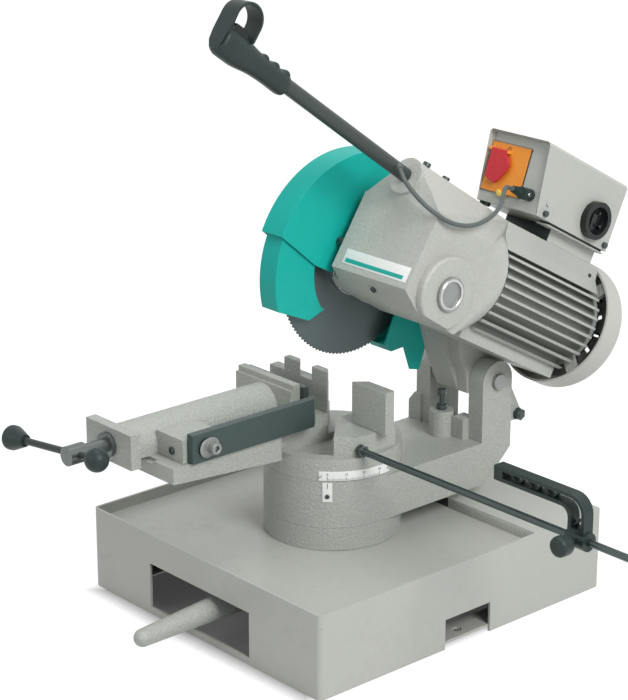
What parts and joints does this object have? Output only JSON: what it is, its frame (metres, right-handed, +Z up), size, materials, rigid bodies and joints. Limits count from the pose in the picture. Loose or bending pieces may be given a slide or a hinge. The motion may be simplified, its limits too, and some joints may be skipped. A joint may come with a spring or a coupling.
{
  "type": "cold saw",
  "caption": "Manual pull-down cold saw with a swivelling worm-drive head, finned motor, blade guards, screw vise, length stop and sheet-metal tray base.",
  "frame": {"origin": "swivel axis of the turret on the floor, under the blade plane and the fixed jaw faces", "axes": "+X along the stock towards the length stop, +Y away from the operator, +Z up"},
  "size_m": [0.6675, 0.6625, 0.7277],
  "materials": {
    "paint": "hammered grey paint",
    "light_paint": "smooth light grey paint",
    "guard_paint": "smooth teal paint",
    "steel": "turned steel",
    "black_steel": "blackened steel",
    "black_plastic": "moulded, fine grain",
    "plate_white": "printed plate",
    "bronze": "cast bronze",
    "laminations": "stacked laminations and windings",
    "plate_orange": "orange switch plate",
    "red_plastic": "red moulded flap",
    "green_plastic": "green push button",
    "cable_rubber": "matt grey sheath"
  },
  "bodies": {
    "base": {"base_tray": "paint", "turret_drum": "paint", "centre_post": "steel", "vise_table": "paint", "fixed_jaw_left": "paint", "fixed_jaw_right": "paint", "jaw_bolts": "black_steel", "scale_plate": "plate_white", "spindle_nut": "bronze"},
    "lock": {"lock_lever": "paint"},
    "swivel": {"swivel_arm": "paint", "pivot_pin": "steel", "pointer_plate": "plate_white", "depth_stop_screw": "black_steel", "depth_stop_nut": "black_steel", "rear_stop_bolt": "black_steel"},
    "head": {"return_spring": "steel", "gear_housing": "paint", "bearing_cover": "paint", "oil_plug": "steel", "motor_frame": "paint", "stator": "laminations", "rear_shield": "paint", "fan_cover": "light_paint", "terminal_riser": "paint", "switch_box": "paint", "switch_plate": "plate_orange", "mains_inlet": "black_plastic", "cable_plug": "black_plastic", "control_cable": "cable_rubber", "cable_grommet": "cable_rubber", "upper_guard": "guard_paint", "rear_guard": "guard_paint", "feed_lever": "black_steel", "grip": "black_plastic", "grip_loop": "black_plastic", "head_screws": "black_steel", "arbor_bearings": "steel", "motor_bearings": "steel"},
    "arbor": {"arbor_shaft": "steel", "worm_wheel": "bronze", "saw_blade": "black_steel", "blade_flange": "steel", "blade_bolt": "black_steel"},
    "rotor": {"motor_shaft": "steel", "rotor_core": "steel", "cooling_fan": "black_plastic"},
    "guard": {"moving_guard": "guard_paint"},
    "carriage": {"vise_carriage": "paint", "moving_jaw_plate": "black_steel", "clamp_bar": "black_steel", "clamp_screw": "steel"},
    "spindle": {"vise_spindle": "steel"},
    "tommy": {"tommy_bar": "black_plastic"},
    "rod": {"stop_rod": "black_steel"},
    "stop": {"stop_arm": "black_plastic"},
    "stop_clamp": {"stop_knob": "black_plastic"},
    "trigger_key": {"trigger": "black_plastic"},
    "flap": {"stop_flap": "red_plastic"},
    "button": {"start_button": "green_plastic"}
  },
  "joints": [
    {"name": "swivel", "type": "hinge", "parent": "base", "child": "swivel", "pos_m": [0, 0, 0.1128], "axis": [0, 0, 1], "range_deg": [0, 45]},
    {"name": "lock_lever", "type": "hinge", "parent": "base", "child": "lock", "pos_m": [0, 0, 0.04], "axis": [0, 0, 1], "range_deg": [-15, 15]},
    {"name": "head_feed", "type": "hinge", "parent": "swivel", "child": "head", "pos_m": [0.024, 0.187, 0.2361], "axis": [1, 0, 0], "range_deg": [0, 25], "stiffness_Nm_per_rad": 40, "springref_deg": -57.3},
    {"name": "rotor_spin", "type": "hinge", "parent": "head", "child": "rotor", "pos_m": [0.087, 0.15624, 0.36006], "axis": [0, 0.8746, -0.4848], "continuous": true},
    {"name": "arbor_spin", "type": "hinge", "parent": "head", "child": "arbor", "pos_m": [0, 0.02839, 0.39325], "axis": [1, 0, 0], "continuous": true},
    {"name": "guard_swing", "type": "hinge", "parent": "head", "child": "guard", "pos_m": [0, 0.02839, 0.39325], "axis": [-1, 0, 0], "range_deg": [0, 37.5]},
    {"name": "vise_slide", "type": "slide", "parent": "base", "child": "carriage", "axis": [0, 1, 0], "range_m": [-0.05, 0.0225]},
    {"name": "spindle_turn", "type": "hinge", "parent": "carriage", "child": "spindle", "pos_m": [-0.064, -0.313, 0.2341], "axis": [0, 1, 0], "range_deg": [-4501, 2026]},
    {"name": "tommy_slide", "type": "slide", "parent": "spindle", "child": "tommy", "axis": [0.9921, 0, 0.1253], "range_m": [-0.015, 0.081]},
    {"name": "rod_turn", "type": "hinge", "parent": "base", "child": "rod", "pos_m": [0.076, -0.024, 0.2031], "axis": [1, 0, 0], "range_deg": [0, 100]},
    {"name": "stop_slide", "type": "slide", "parent": "rod", "child": "stop", "axis": [1, 0, 0], "range_m": [-0.15, 0.05]},
    {"name": "stop_clamp_turn", "type": "hinge", "parent": "stop", "child": "stop_clamp", "pos_m": [0.399, -0.05, 0.2031], "axis": [0, 1, 0], "range_deg": [-180, 180]},
    {"name": "trigger_press", "type": "slide", "parent": "head", "child": "trigger_key", "axis": [0, -0.5864, -0.81], "range_m": [0, 0.003], "stiffness_N_per_m": 600, "springref_m": -0.002},
    {"name": "flap_lift", "type": "hinge", "parent": "head", "child": "flap", "pos_m": [0.065, 0.19523, 0.50766], "axis": [-1, 0, 0], "range_deg": [0, 75]},
    {"name": "button_press", "type": "slide", "parent": "head", "child": "button", "axis": [0, 0.935, -0.3545], "range_m": [0, 0.0014], "stiffness_N_per_m": 300, "springref_m": -0.001}
  ],
  "couplings": [
    {"joint": "arbor_spin", "follows": "rotor_spin", "ratio": 0.033333},
    {"joint": "guard_swing", "follows": "head_feed", "ratio": 1.5},
    {"joint": "spindle_turn", "follows": "vise_slide", "rad_per_m": 1570.8}
  ]
}
